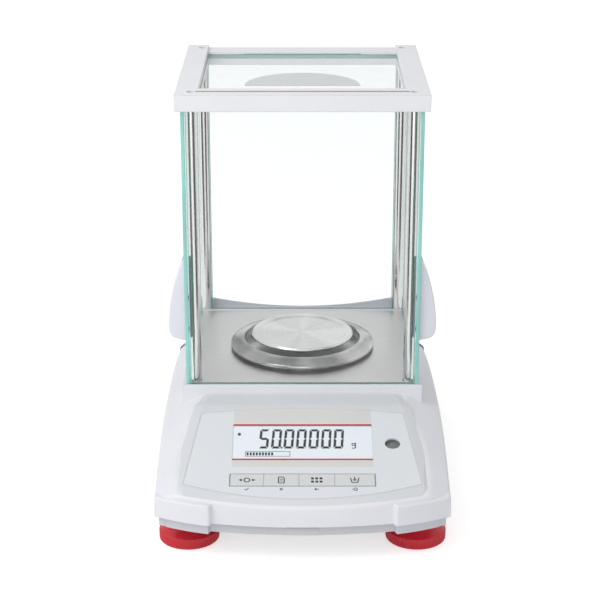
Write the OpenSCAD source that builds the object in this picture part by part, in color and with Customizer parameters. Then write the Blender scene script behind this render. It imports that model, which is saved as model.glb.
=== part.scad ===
// Analytical balance with a glass draft shield. Millimetres, +Z up, front towards -Y.
// The origin is on the table, under the centre of the base.

/* [Base] */
// Width of the base
body_w = 209; // [204:1:216]
// Depth of the base, front to back
body_d = 321; // [318:1:330]
// Wall thickness of the white housing
skin = 2.6; // [2:0.1:3]
// Height of the tray's underside above the table
tray_z = 23; // [21:0.5:26]
// Height of the tray's side wall
tray_h = 7.6; // [6:0.2:9]
// How far the tray is set in under the housing
tray_inset = 3; // [2:0.25:4]
// Thickness of the tray's floor and wall
tray_wall = 3; // [2.5:0.25:3.5]
// Radius of the base's curved front
front_r = 341; // [320:5:380]
// Radius of the base's rear corners
rear_corner_r = 24; // [15:1:35]

/* [Shoulders] */
// Highest point of the shoulder line on the sides
shoulder_z = 65; // [62:0.5:67]
// Place of that point, front to back
shoulder_y = -30; // [-40:1:-20]
// Radius of the shoulder line's front part
shoulder_front_r = 300; // [290:5:330]
// Radius of the shoulder line's rear part
shoulder_rear_r = 780; // [700:10:900]
// Rise of the shoulder surface for each millimetre inwards
shoulder_slope = 0.515; // [0.45:0.005:0.55]

/* [Plinth] */
// Width of the block that carries the weighing chamber
plinth_w = 180.2; // [178:0.2:182]
// Height of the chamber floor above the table
floor_z = 87; // [86:0.5:90]
// Front face of the plinth
plinth_front_y = -38.6; // [-40:0.1:-38.6]
// Thickness of the lip in front of the front glass
lip_t = 1.5; // [1:0.1:1.5]
// Thickness of the steel floor plate
plate_t = 1.5; // [1:0.1:2]
// Rear edge of the steel floor plate
plate_rear_y = 122.5; // [118:0.5:124]
// Lowest point of the saddle behind the chamber
saddle_z = 85; // [83:0.5:86]
// Radius of the saddle
saddle_r = 402; // [380:5:450]

/* [Console] */
// Angle of the control panel
console_angle = 17.9; // [17:0.1:18.5]
// Thickness of the raised control panel
console_t = 1.6; // [1.4:0.1:2]
// Half width of the panel along its rear edge
console_rear_x = 68.5; // [64:0.5:72]
// Half width of the panel's outline at its front corners
console_front_x = 92.6; // [90:0.2:94]
// Width of the bevel along the panel's sides
console_bevel = 7; // [5:0.5:8]
// Thickness of the keypad film
film_t = 0.5; // [0.3:0.1:0.7]
// Width of the display window
window_w = 100.8; // [96:0.2:104]
// Height of the display window along the slope
window_h = 36.6; // [34:0.2:37]
// Width of the four keys together
keys_w = 102; // [90:1:106]
// Height of the keys along the slope
key_h = 11.6; // [9:0.2:12.4]
// Gap round each key
key_gap = 0.25; // [0.2:0.05:0.4]
// Travel of a key
key_travel = 0.5; // [0.3:0.1:0.6]
// Diameter of the window over the level
level_d = 11.2; // [10:0.2:12]

/* [Draft shield] */
// Overall height of the balance
total_h = 309; // [300:1:330]
// Width of the top frame
frame_w = 182.6; // [182.6:0.2:186]
// Height of the top frame
frame_h = 12; // [12:0.5:14]
// Width of the top frame's side rails
rail_w = 16.3; // [16.3:0.1:18]
// Front of the top frame
frame_front_y = -39.1; // [-40:0.1:-39.1]
// Rear of the top frame
frame_rear_y = 140.2; // [140.2:0.2:144]
// Depth of the front rail
front_rail_d = 22.1; // [21:0.1:24]
// Depth of the rear rail
rear_rail_d = 20.2; // [19:0.2:22]
// Thickness of the side doors
door_t = 2.8; // [2.5:0.1:2.8]
// Outer face of the side doors, from the middle
door_x = 87.3; // [87.3:0.1:87.3]
// Front edge of the side doors
door_front_y = -36.7; // [-36.8:0.1:-36.4]
// Rear edge of the side doors
door_rear_y = 132.5; // [128:0.5:133]
// Thickness of the front, rear and top panes
pane_t = 3; // [2.6:0.1:3]
// Radius of the grip pad on the top pane
grip_r = 42.5; // [35:0.5:48]
// Straight edge of the grip pad
grip_y = 9; // [5:1:15]
// Thickness of the grip pad
grip_t = 0.5; // [0.3:0.1:0.5]

/* [Posts] */
// Diameter of the four posts
post_d = 8.1; // [7.6:0.1:8.1]
// Distance of the posts from the middle
post_x = 80.1; // [79.8:0.1:80.1]
// Front posts, front to back
post_front_y = -27.5; // [-28:0.1:-27]
// Rear posts, front to back
post_rear_y = 129; // [127:0.2:129]
// Diameter of the screws in the posts
post_screw_d = 3.9; // [3:0.1:4]

/* [Handles] */
// Front face of the door handles
handle_front_y = -33; // [-35:0.5:-30]
// Depth of the door handles, front to back
handle_d = 22; // [18:0.5:26]
// Wall of the door handles
handle_wall = 2.2; // [1.8:0.1:2.4]

/* [Weighing pan] */
// Centre of the pan, front to back
pan_y = 42.8; // [41:0.2:45]
// Diameter of the pan
pan_d = 80; // [76:1:84]
// Height of the pan's rim
pan_top_z = 99.7; // [98.7:0.1:101]
// Diameter of the draft ring
ring_d = 113; // [108:1:118]
// Inner diameter of the draft ring
ring_inner_d = 90.5; // [89:0.5:94]
// Height of the draft ring above the floor plate
ring_h = 8.5; // [7.5:0.1:9]
// Diameter of the pin that the pan sits on
pin_d = 6; // [5:0.1:7]

/* [Feet] */
// Distance of the levelling wheels from the middle
foot_x = 82; // [80:0.5:83]
// Distance of the levelling wheels behind the base's front
foot_inset = 45; // [42.5:0.5:48.5]
// Diameter of the levelling wheels
wheel_d = 43.6; // [40:0.4:46]
// Height of the wheels' knurled rim
wheel_rim_h = 8.5; // [7:0.5:9.5]
// Diameter of the levelling screws
stud_d = 10; // [8:0.5:11]
// Distance of the rear feet from the middle
rear_foot_x = 75; // [65:1:78]
// Distance of the rear feet from the base's rear
rear_foot_inset = 32.5; // [28.5:1:45.5]
// Diameter of the rear feet
rear_foot_d = 24; // [18:1:28]

/* [Fits] */
// Play beside a sliding pane
slide_play = 0.3; // [0.25:0.05:0.35]
// Radial play of a pin or screw in its bore
bore_play = 0.05; // [0.03:0.01:0.08]

/* [Hidden] */
$fn = 96;
eps = 0.01;
over = 1;
half_w = body_w / 2;
front_y = -body_d / 2;
rear_y = body_d / 2;
base_z = tray_z + tray_h;
apron_z = 46;
plinth_x = plinth_w / 2;
recess_z = floor_z - plate_t;
deck_z = recess_z - skin;

// Front corner pods: the arc of each runs from its inner front corner to its outer side
pod_x = 65.2;
pod_front_y = front_y + 1.5;
pod_side_y = front_y + 16.9;
pod_r = 150;
pod_lean = 4.2;
pod_mid = [(pod_x + half_w) / 2, (pod_front_y + pod_side_y) / 2];
pod_chord = norm([half_w - pod_x, pod_side_y - pod_front_y]);
pod_back = sqrt(pod_r * pod_r - pod_chord * pod_chord / 4) / pod_chord;
pod_centre = [pod_mid[0] - (pod_side_y - pod_front_y) * pod_back, pod_mid[1] + (half_w - pod_x) * pod_back];

// Console: origin of the slope, at the middle of the film's top edge
slope_y = front_y + 97;
slope_z = 78.7;
slope_tan = tan(console_angle);
band_z = slope_z + 1.3;
film_top = 6;
film_top_x = 74.2;
film_side = 80;
film_side_x = 84;
film_bottom = 94.8;
film_rim = 1.2;
band_y = slope_y + (band_z - slope_z) / slope_tan;
band_x = console_rear_x + 4.7;
console_bottom = 101;
console_corner = 89;
console_rim_r = (pow(console_front_x, 2) + pow(console_bottom - console_corner, 2)) / 2
    / (console_bottom - console_corner);

// Points of the panel's lower edge on the shoulders: across, down the slope, and depth
console_rim = [[film_top_x + film_rim + console_bevel, film_top, 3.4], [window_w / 2 + 37.5, 40, console_t + 0.3],
    [console_front_x, console_corner, 4.6]];
window_top = 18.3;
window_bottom = window_top + window_h;
keys_top = 70.3;
key_edge = [for (part = [-0.5, -0.268, -0.025, 0.222, 0.5]) part * keys_w];
plunger_d = 5;
level_x = window_w / 2 + level_d / 2 + 9;
level_s = 38.2;
level_cup_d = level_d + 6.8;
level_cup_h = 8;
level_vial_d = level_d + 1.2;
level_vial_h = 5;
board_t = 1.6;
lcd_t = 2.8;
holder_t = 5.7;
holder_wall = 2;
board_n = -film_t - lcd_t - holder_t;
switch_t = 0.7;
switch_w = 6;

// Draft shield
frame_z = total_h - frame_h;
frame_x = frame_w / 2;
opening_x = frame_x - rail_w;
opening_front_y = frame_front_y + front_rail_d;
opening_rear_y = frame_rear_y - rear_rail_d;
door_in_x = door_x - door_t;
ledge_z = floor_z - 1.8;
door_bottom_z = ledge_z + slide_play;
glass_seat = 3.4;
door_top_z = frame_z + 5.5;
channel_z = frame_z + 2.6;
channel_top_z = frame_z + 8;
channel_wall = 1.1;
hanger_l = 44;
top_glass_top_z = total_h - 4;
top_glass_z = top_glass_top_z - pane_t;
top_groove = 2.4;
front_glass_y = door_front_y + slide_play;
hanger_front_y = front_glass_y + pane_t + 0.4;
rear_glass_y = post_rear_y - pane_t / 2;
rear_glass_x = post_x - post_d / 2 - slide_play;
post_screw_l = 14;
screw_recess_d = 5.4;
screw_recess_h = 5;
saddle_front_y = post_rear_y + post_d / 2 + 0.9;
horn_x = door_in_x - slide_play - 0.4;
horn_h = 7;
saddle_fall = 19.3;
strip_x = opening_x + 1.6;
strip_d = 2.8;
strip_h = 0.6;
strip_y = frame_front_y + 12.6;

// Handles: outline in x and z, inner face on the glass
handle_z = 121;
handle_screw_z = [handle_z + 5, handle_z + 30];
handle_screw_y = handle_front_y + handle_d / 2;
handle_screw_d = 3;

// Weighing system
spindle_d = 12;
spindle_top_z = pan_top_z - 9;
pin_top_z = pan_top_z - 3.2;
cell_z = 34;
cell_h = 34;
cell_w = 56;
cell_l = 92;
cell_y = pan_y - 16;
magnet_d = 40;
magnet_h = 26;
magnet_y = cell_y - cell_l / 2 - magnet_d / 2 - 1;
coil_d = 26;
lever_h = 6;

// Main board and sockets on the rear wall
board_z = 33;
board_x = 64;
board_front_y = rear_y - 60.5;
standoff_x = 50;
standoff_d = 7;
port_z = 41;
port_spots = [-46, -16, 16];
port_size = [[32, 13], [13, 12], [10, 12]];

// Feet
wheel_gap = 0.3;
hub_d = 22;
pad_t = 1.2;
pin_h = 4;
insert_d = 17;
insert_h = 12;
stud_top_z = tray_z + insert_h + 4;
foot_y = front_y + foot_inset;
rear_foot_y = rear_y - rear_foot_inset;
screw_front_y = front_y + 38.5;
screw_rear_y = rear_y - 20.5;
screw_spots = [[-62, screw_front_y], [62, screw_front_y], [-88, -10], [88, -10],
    [-60, screw_rear_y], [60, screw_rear_y]];
boss_d = 9;
self_tap_d = 3.4;

// Points of an arc from [-x, s0] to [x, s0] whose middle lies at s1
function console_arc(x, s0, s1, n) = let (h = s0 - s1, r = (x * x + h * h) / (2 * h), a = asin(x / r))
    [for (i = [0:n]) let (b = -a + 2 * a * i / n) [r * sin(b), -(s1 + r - r * cos(b))]];

function film_outline(g) = concat(
    console_arc(film_top_x - g, film_top + g, 0.2 + g, 12),
    [for (p = console_arc(film_side_x - g, film_bottom - g, film_side - g, 12))
        [-p[0], 2 * g - film_side - film_bottom - p[1]]]);

// Places its children on the control panel: x across, y up the slope, z out of it
module on_console() {
    translate([0, slope_y, slope_z])
        rotate([console_angle, 0, 0])
            children();
}

module both_sides() {
    children();
    mirror([1, 0, 0])
        children();
}

module at_posts() {
    for (x = [-post_x, post_x], y = [post_front_y, post_rear_y])
        translate([x, y, 0])
            children();
}

// Outline of the base seen from above, set in by t
module base_plan(t) {
    intersection() {
        translate([0, front_y + front_r])
            circle(r = front_r - t);
        union() {
            translate([-half_w + t, front_y])
                square([body_w - 2 * t, body_d - rear_corner_r]);
            translate([-half_w + rear_corner_r, front_y])
                square([body_w - 2 * rear_corner_r, body_d - t]);
            both_sides()
                translate([half_w - rear_corner_r, rear_y - rear_corner_r])
                    circle(r = rear_corner_r - t);
        }
    }
}

// Outline of a front corner pod, set in by t
module pod_plan(t) {
    intersection() {
        translate(pod_centre)
            circle(r = pod_r - t);
        polygon([[pod_x - pod_lean + t, pod_front_y + 9], [pod_x + t, pod_front_y - 2],
            [half_w - t, pod_front_y - 2], [half_w - t, pod_front_y + 60],
            [pod_x - pod_lean + t, pod_front_y + 60]]);
    }
}

// One half of the arched shoulders: a cone on each side of the middle, set in by t
module shoulder_half(r, t) {
    both_sides()
        translate([0, shoulder_y, shoulder_z - r])
            rotate([0, 90, 0])
                cylinder(h = half_w + over, r1 = r + shoulder_slope * half_w - t,
                    r2 = r - shoulder_slope * over - t, $fn = 180);
}

module shoulders(t) {
    intersection() {
        shoulder_half(shoulder_front_r, t);
        translate([-body_w, 2 * front_y, 0])
            cube([2 * body_w, shoulder_y - 2 * front_y + eps, floor_z]);
    }
    intersection() {
        shoulder_half(shoulder_rear_r, t);
        translate([-body_w, shoulder_y, 0])
            cube([2 * body_w, body_d, floor_z]);
    }
}

// Everything under the sloped front and a flat top, seen from the side, set in by t
module side_limit(t, top) {
    drop = (console_t + t) / cos(console_angle);
    flat_z = band_z - console_t - t;
    rotate([90, 0, 90])
        translate([0, 0, -body_w])
            linear_extrude(2 * body_w)
                polygon([[front_y - over, -over],
                    [front_y - over, slope_z - drop + (front_y - over - slope_y) * slope_tan],
                    [slope_y + (flat_z - slope_z + drop) / slope_tan, flat_z], [plinth_front_y + skin, flat_z],
                    [plinth_front_y + skin, top], [rear_y + over, top], [rear_y + over, -over]]);
}

module plinth_block(t, top) {
    intersection() {
        translate([-plinth_x + t, plinth_front_y + t, base_z])
            cube([plinth_w - 2 * t, rear_y - plinth_front_y, top - base_z]);
        translate([0, 0, base_z - over])
            linear_extrude(floor_z)
                base_plan(t);
    }
}

// Rear of the plinth between the paths of the doors, raised for the saddle
module horns(t, top) {
    intersection() {
        translate([-horn_x + t, saddle_front_y + t, base_z])
            cube([2 * (horn_x - t), rear_y - saddle_front_y, top + horn_h - base_z]);
        linear_extrude(floor_z + 2 * horn_h)
            base_plan(t);
    }
}

module housing_solid(t, top) {
    intersection() {
        shoulders(t);
        side_limit(t, top);
        translate([0, 0, t > 0 ? -over : base_z])
            linear_extrude(floor_z)
                base_plan(t);
    }
    plinth_block(t, top);
    horns(t, top);
    both_sides()
        translate([0, 0, t > 0 ? -over : base_z])
            linear_extrude(apron_z - t - (t > 0 ? -over : base_z))
                pod_plan(t);
}

// Cuts the rear of the plinth down to a saddle between two horns
module saddle_cut(t) {
    translate([-body_w / 2, saddle_front_y, 0])
        intersection() {
            translate([body_w / 2, 6, saddle_z + saddle_r - t])
                rotate([-saddle_fall, 0, 0])
                    rotate([90, 0, 0])
                        translate([0, 0, -body_d / 2])
                            cylinder(h = body_d, r = saddle_r, $fn = 180);
            cube([body_w, body_d, 2 * floor_z]);
        }
}

module upper_housing() {
    color([0.9, 0.9, 0.92])
        difference() {
            union() {
                difference() {
                    housing_solid(0, floor_z);
                    difference() {
                        housing_solid(skin, deck_z);
                        saddle_lining();
                    }
                }
                screw_bosses();
            }
            saddle_cut(0);
            floor_recess();
            console_openings();
            port_openings();
            at_posts()
                translate([0, 0, deck_z - over])
                    cylinder(h = skin + 2 * over + 5, r = post_screw_d / 2 + 0.3);
            for (y = [post_rear_y], x = [-post_x, post_x])
                translate([x, y, recess_z])
                    cylinder(h = plate_t + over, r = post_d / 2 + bore_play);
            translate([0, pan_y, deck_z - over])
                cylinder(h = skin + 2 * over + plate_t, d = spindle_d + 14);
            for (p = screw_spots)
                translate([p[0], p[1], 0])
                    cylinder(h = base_z + 8, d = self_tap_d + 2 * bore_play);
        }
}

// Material kept under the saddle, so that the cut leaves a wall
module saddle_lining() {
    intersection() {
        saddle_cut(skin);
        translate([-half_w, saddle_front_y - skin, base_z + 10])
            cube([body_w, body_d, floor_z]);
    }
}

module screw_bosses() {
    intersection() {
        for (p = screw_spots)
            translate([p[0], p[1], tray_z + tray_wall])
                cylinder(h = floor_z, d = boss_d);
        union() {
            housing_solid(0.4, deck_z + 1);
            translate([0, 0, tray_z])
                linear_extrude(tray_h + 2)
                    base_plan(tray_inset + tray_wall);
        }
    }
}

module floor_recess() {
    translate([-door_in_x + slide_play, plinth_front_y + lip_t, recess_z])
        cube([2 * (door_in_x - slide_play), plate_rear_y + 0.4 - plinth_front_y - lip_t, plate_t + over]);
    both_sides()
        translate([door_in_x - slide_play - eps, plinth_front_y + lip_t, ledge_z])
            cube([half_w, body_d, floor_z]);
    translate([-rear_glass_x - slide_play, rear_glass_y - 0.2, recess_z])
        cube([2 * (rear_glass_x + slide_play), pane_t + 0.4, plate_t + over]);
}

module console_openings() {
    on_console() {
        translate([-keys_w / 2 - 6, -keys_top - key_h - 4, -20])
            cube([keys_w + 12, key_h + keys_top - window_top + 8, 30]);
        translate([level_x, -level_s, -20])
            cylinder(h = 30, d = level_cup_d + 0.6);
    }
}

module port_openings() {
    for (i = [0:2])
        translate([port_spots[i] - port_size[i][0] / 2 - 0.3, rear_y - skin - over, board_z + board_t - 0.3])
            cube([port_size[i][0] + 0.6, skin + 2 * over, port_z + port_size[i][1] / 2 - board_z - board_t + 0.6]);
}

module base_tray() {
    color([0.78, 0.79, 0.8])
        difference() {
            union() {
                difference() {
                    translate([0, 0, tray_z])
                        linear_extrude(tray_h)
                            base_plan(tray_inset);
                    translate([0, 0, tray_z + tray_wall])
                        linear_extrude(tray_h)
                            base_plan(tray_inset + tray_wall);
                }
                both_sides() {
                    translate([0, 0, tray_z])
                        linear_extrude(tray_h)
                            intersection() {
                                pod_plan(tray_inset);
                                translate([0, 2 * front_y])
                                    square([body_w, body_d * 0.55]);
                            }
                    translate([foot_x, foot_y, tray_z])
                        cylinder(h = insert_h, d = insert_d + 7);
                    translate([rear_foot_x, rear_foot_y, pad_t + 1.8])
                        cylinder(h = tray_z + tray_wall - pad_t - 1.8, d = rear_foot_d);
                }
                translate([-cell_w / 2, cell_y - cell_l / 2 + 4, tray_z])
                    cube([cell_w, 30, cell_z - tray_z]);
                for (x = [-standoff_x, standoff_x], y = [board_front_y + 4, rear_y - 14.5])
                    translate([x, y, tray_z])
                        cylinder(h = board_z - tray_z, d = standoff_d);
            }
            both_sides()
                translate([foot_x, foot_y, tray_z - over])
                    cylinder(h = insert_h + 2 * over, r = insert_d / 2);
            for (p = screw_spots)
                translate([p[0], p[1], tray_z - over]) {
                    cylinder(h = tray_h, d = self_tap_d + 2 * bore_play);
                    cylinder(h = over + 1.6, d = 7);
                }
        }
}

module console_frame() {
    color([0.82, 0.83, 0.85])
        difference() {
            hull() {
                on_console() {
                    translate([0, 0, -eps])
                        linear_extrude(eps)
                            polygon(film_outline(-film_rim));
                    translate([0, 0, -console_t - 0.3])
                        linear_extrude(eps)
                            polygon([for (i = [-7:7]) let (x = i * film_side_x / 7)
                                [x, console_rim_r - console_bottom - sqrt(pow(console_rim_r, 2) - x * x)]]);
                    for (p = console_rim)
                        translate([-p[0], -p[1], -p[2]])
                            cube([2 * p[0], eps, eps]);
                }
                for (edge = [[band_y, band_x], [plinth_front_y - eps, console_rear_x]]) {
                    translate([-edge[1], edge[0], band_z - eps])
                        cube([2 * edge[1], eps, eps]);
                    translate([-edge[1] - console_bevel, edge[0], band_z - console_t - 0.3])
                        cube([2 * (edge[1] + console_bevel), eps, eps]);
                }
            }
            housing_solid(0, floor_z);
            on_console() {
                translate([0, 0, -film_t])
                    linear_extrude(film_t + over)
                        polygon(film_outline(-0.2));
                translate([-window_w / 2 - 0.3, -window_bottom - 0.3, -10])
                    cube([window_w + 0.6, window_h + 0.6, 20]);
                translate([-keys_w / 2 - key_gap, -keys_top - key_h - key_gap, -10])
                    cube([keys_w + 2 * key_gap, key_h + 2 * key_gap, 20]);
                translate([level_x, -level_s, -10])
                    cylinder(h = 20, d = level_d);
            }
        }
}

module keypad_film() {
    color([0.87, 0.88, 0.9])
        on_console()
            translate([0, 0, -film_t])
                difference() {
                    linear_extrude(film_t)
                        polygon(film_outline(0));
                    translate([-window_w / 2 - 0.1, -window_bottom - 0.1, -over])
                        cube([window_w + 0.2, window_h + 0.2, film_t + 2 * over]);
                    translate([-keys_w / 2 - key_gap, -keys_top - key_h - key_gap, -over])
                        cube([keys_w + 2 * key_gap, key_h + 2 * key_gap, film_t + 2 * over]);
                    translate([level_x, -level_s, -over])
                        cylinder(h = film_t + 2 * over, d = level_d);
                }
}

module display_window() {
    color([0.95, 0.97, 1, 0.4])
        on_console()
            translate([-window_w / 2, -window_bottom, -film_t])
                cube([window_w, window_h, film_t]);
}

module lcd_panel() {
    color([0.9, 0.95, 1])
        on_console()
            translate([-window_w / 2, -window_bottom, -film_t - lcd_t])
                cube([window_w, window_h, lcd_t]);
}

module lcd_holder() {
    color([0.95, 0.95, 0.95])
        on_console()
            translate([-window_w / 2 - holder_wall, -window_bottom - holder_wall, board_n])
                difference() {
                    cube([window_w + 2 * holder_wall, window_h + 2 * holder_wall, -console_t - 0.1 - board_n]);
                    translate([holder_wall - 0.2, holder_wall - 0.2, holder_t])
                        cube([window_w + 0.4, window_h + 0.4, lcd_t]);
                    translate([4 * holder_wall, 4 * holder_wall, -over])
                        cube([window_w - 6 * holder_wall, window_h - 6 * holder_wall, holder_t - 1]);
                }
}

module display_board() {
    color([0.1, 0.45, 0.25])
        on_console()
            translate([-keys_w / 2 - 4, -keys_top - key_h - 2, board_n - board_t])
                cube([keys_w + 8, key_h + keys_top - window_top + 6, board_t]);
}

module key_switches() {
    color([0.2, 0.2, 0.22])
        on_console()
            for (i = [0:3])
                translate([key_middle(i) - switch_w / 2, -keys_top - key_h / 2 - switch_w / 2, board_n])
                    cube([switch_w, switch_w, switch_t]);
}

function key_middle(i) = (key_edge[i] + key_edge[i + 1]) / 2;

// A key cap with its plunger, counted from the left
module key(i) {
    color([0.82, 0.83, 0.84])
        on_console() {
            translate([key_edge[i] + key_gap / 2, -keys_top - key_h, -console_t])
                cube([key_edge[i + 1] - key_edge[i] - key_gap, key_h, console_t + 0.1]);
            translate([key_middle(i), -keys_top - key_h / 2, board_n + switch_t + key_travel])
                cylinder(h = -board_n - switch_t - key_travel - console_t + eps, d = plunger_d);
        }
}

module key_zero() {
    key(0);
}

module key_print() {
    key(1);
}

module key_mode() {
    key(2);
}

module key_tare() {
    key(3);
}

module level_cup() {
    color([0.25, 0.25, 0.27])
        on_console()
            translate([level_x, -level_s, 0])
                difference() {
                    translate([0, 0, -console_t - level_cup_h])
                        cylinder(h = level_cup_h, d = level_cup_d);
                    translate([0, 0, -console_t - level_cup_h + 1.5])
                        cylinder(h = level_cup_h, d = level_vial_d);
                }
}

module level_vial() {
    color([0.75, 0.9, 0.5, 0.6])
        on_console()
            translate([level_x, -level_s, -console_t - level_cup_h + 1.5])
                cylinder(h = level_vial_h, d = level_vial_d - 2 * bore_play);
}

module floor_plate() {
    plate_x = door_in_x - slide_play - 0.2;
    plate_front_y = front_glass_y + pane_t + 0.3;
    color([0.7, 0.7, 0.71])
        difference() {
            translate([-plate_x, plate_front_y, recess_z])
                cube([2 * plate_x, plate_rear_y - plate_front_y, plate_t]);
            both_sides()
                translate([post_x, post_front_y, recess_z - over]) {
                    cylinder(h = plate_t + 2 * over, d = post_d + 0.6);
                    translate([0, -post_d / 2 - 0.3, 0])
                        cube([post_d, post_d + 0.6, plate_t + 2 * over]);
                }
            translate([0, pan_y, recess_z - over])
                cylinder(h = plate_t + 2 * over, d = spindle_d + 10);
        }
}

module post(x, y) {
    color([0.75, 0.75, 0.76])
        translate([x, y, recess_z])
            difference() {
                cylinder(h = frame_z - recess_z, d = post_d);
                translate([0, 0, -over])
                    cylinder(h = post_screw_l + over, r = post_screw_d / 2 + bore_play);
                translate([0, 0, frame_z - recess_z - post_screw_l])
                    cylinder(h = post_screw_l + over, r = post_screw_d / 2 + bore_play);
            }
}

module front_post_left() {
    post(-post_x, post_front_y);
}

module front_post_right() {
    post(post_x, post_front_y);
}

module rear_post_left() {
    post(-post_x, post_rear_y);
}

module rear_post_right() {
    post(post_x, post_rear_y);
}

module post_base_screws() {
    color([0.6, 0.6, 0.62])
        at_posts()
            difference() {
                union() {
                    translate([0, 0, deck_z - 2.6])
                        cylinder(h = 2.6, d = 7);
                    translate([0, 0, deck_z - eps])
                        cylinder(h = skin + post_screw_l - 1, d = post_screw_d);
                }
                translate([0, 0, deck_z - 2.6 - over])
                    cylinder(h = over + 1.6, d = 3.4, $fn = 6);
            }
}

module top_frame() {
    depth = frame_rear_y - frame_front_y;
    color([0.91, 0.91, 0.93])
        difference() {
            translate([-frame_x, frame_front_y, frame_z])
                cube([frame_w, depth, frame_h]);
            translate([-opening_x, opening_front_y, frame_z - over])
                cube([2 * opening_x, opening_rear_y - opening_front_y, frame_h + 2 * over]);
            top_glass_path();
            both_sides()
                door_channel();
            translate([-door_in_x + slide_play, front_glass_y - 0.2, frame_z - over])
                cube([2 * (door_in_x - slide_play), pane_t + 0.4, glass_seat + over]);
            translate([-rear_glass_x - 0.2, rear_glass_y - 0.2, frame_z - over])
                cube([2 * rear_glass_x + 0.4, pane_t + 0.4, glass_seat + over]);
            at_posts() {
                translate([0, 0, frame_z - over])
                    cylinder(h = frame_h + 2 * over, r = post_screw_d / 2 + 0.15);
                translate([0, 0, total_h - screw_recess_h])
                    cylinder(h = screw_recess_h + over, d = screw_recess_d);
            }
            translate([-strip_x - 0.1, strip_y - strip_d / 2 - 0.1, total_h - strip_h])
                cube([2 * strip_x + 0.2, strip_d + 0.2, strip_h + over]);
        }
}

// Path of the sliding top pane: grooves in three rails and a slot through the rear one
module top_glass_path() {
    groove_x = opening_x + top_groove;
    translate([-groove_x, opening_front_y - 4, top_glass_z - slide_play])
        cube([2 * groove_x, frame_rear_y + over - opening_front_y + 4, pane_t + 2 * slide_play]);
    translate([-grip_r - 4, opening_rear_y - over, top_glass_z - slide_play])
        cube([2 * grip_r + 8, rear_rail_d + 2 * over, pane_t + grip_t + 2 * slide_play]);
    translate([-opening_x, opening_rear_y - over, total_h - 2])
        cube([2 * opening_x, rear_rail_d + 2 * over, 2 + over]);
}

module door_channel() {
    front = door_front_y - slide_play;
    translate([door_in_x - slide_play, front, frame_z - over])
        cube([door_t + 2 * slide_play, frame_rear_y - front + over, channel_top_z - frame_z]);
    translate([door_in_x - channel_wall, front, channel_z])
        cube([door_t + 2 * channel_wall, frame_rear_y - front + over, channel_top_z - channel_z]);
}

module frame_screws() {
    color([0.45, 0.45, 0.47])
        at_posts()
            difference() {
                union() {
                    translate([0, 0, total_h - screw_recess_h])
                        cylinder(h = 3, d = screw_recess_d - 0.4);
                    translate([0, 0, frame_z - post_screw_l + 2])
                        cylinder(h = frame_h + post_screw_l - 2 - screw_recess_h + eps, d = post_screw_d);
                }
                translate([0, 0, total_h - 3.4])
                    cylinder(h = 3, d = 2.9, $fn = 6);
            }
}

module accent_strip() {
    color([0.78, 0.1, 0.15])
        translate([-strip_x, strip_y - strip_d / 2, total_h - strip_h])
            cube([2 * strip_x, strip_d, strip_h]);
}

module front_glass() {
    color([0.85, 0.95, 0.93, 0.3])
        translate([-door_in_x + slide_play + 0.2, front_glass_y, recess_z])
            cube([2 * (door_in_x - slide_play - 0.2), pane_t, frame_z + glass_seat - 0.4 - recess_z]);
}

module rear_glass() {
    color([0.85, 0.95, 0.93, 0.3])
        translate([-rear_glass_x, rear_glass_y, recess_z])
            cube([2 * rear_glass_x, pane_t, frame_z + glass_seat - 0.4 - recess_z]);
}

module right_door_glass() {
    color([0.7, 0.92, 0.88, 0.35])
        difference() {
            translate([door_in_x, door_front_y, door_bottom_z])
                cube([door_t, door_rear_y - door_front_y, door_top_z - door_bottom_z]);
            for (z = handle_screw_z)
                translate([door_in_x - over, handle_screw_y, z])
                    rotate([0, 90, 0])
                        cylinder(h = door_t + 2 * over, r = handle_screw_d / 2 + bore_play);
        }
}

module left_door_glass() {
    mirror([1, 0, 0])
        right_door_glass();
}

// Runner that the side door hangs from, inside the frame's channel
module right_door_hanger() {
    color([0.85, 0.85, 0.87])
        difference() {
            translate([door_in_x - channel_wall + slide_play, hanger_front_y, channel_z + slide_play])
                cube([door_t + 2 * (channel_wall - slide_play), hanger_l, channel_top_z - channel_z - 2 * slide_play]);
            translate([door_in_x, door_front_y, channel_z])
                cube([door_t, hanger_l + 4, door_top_z - channel_z]);
        }
}

module left_door_hanger() {
    mirror([1, 0, 0])
        right_door_hanger();
}

// Fin profile of a door handle, seen from the front
function handle_profile(g) = [[0, -0.6 + g], [9 - g, 1.6 + g], [11.5 - g, 4.4 + g], [12.6 - g, 9],
    [12.3 - g, 18], [10.8 - g, 31], [7.8 - g, 44], [4 - g, 54 - g], [0, 64 - 3 * g]];

module right_handle() {
    color([0.93, 0.93, 0.96])
        difference() {
            translate([door_x, handle_front_y + handle_d, handle_z])
                rotate([90, 0, 0])
                    linear_extrude(handle_d)
                        polygon(handle_profile(0));
            translate([door_x + handle_wall, handle_front_y + handle_d + over, handle_z])
                rotate([90, 0, 0])
                    linear_extrude(handle_d - handle_wall + over)
                        polygon([for (p = handle_profile(handle_wall)) [max(p[0] - handle_wall, 0), min(p[1], 50)]]);
            for (z = handle_screw_z)
                translate([door_x - over, handle_screw_y, z])
                    rotate([0, 90, 0])
                        cylinder(h = handle_wall + 2 * over, r = handle_screw_d / 2 + bore_play);
        }
}

module left_handle() {
    mirror([1, 0, 0])
        right_handle();
}

module right_handle_screws() {
    color([0.75, 0.75, 0.78])
        for (z = handle_screw_z)
            translate([door_in_x, handle_screw_y, z])
                rotate([0, 90, 0]) {
                    cylinder(h = door_t + handle_wall, d = handle_screw_d);
                    translate([0, 0, -0.8])
                        cylinder(h = 0.8, d = 6);
                }
}

module left_handle_screws() {
    mirror([1, 0, 0])
        right_handle_screws();
}

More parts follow.
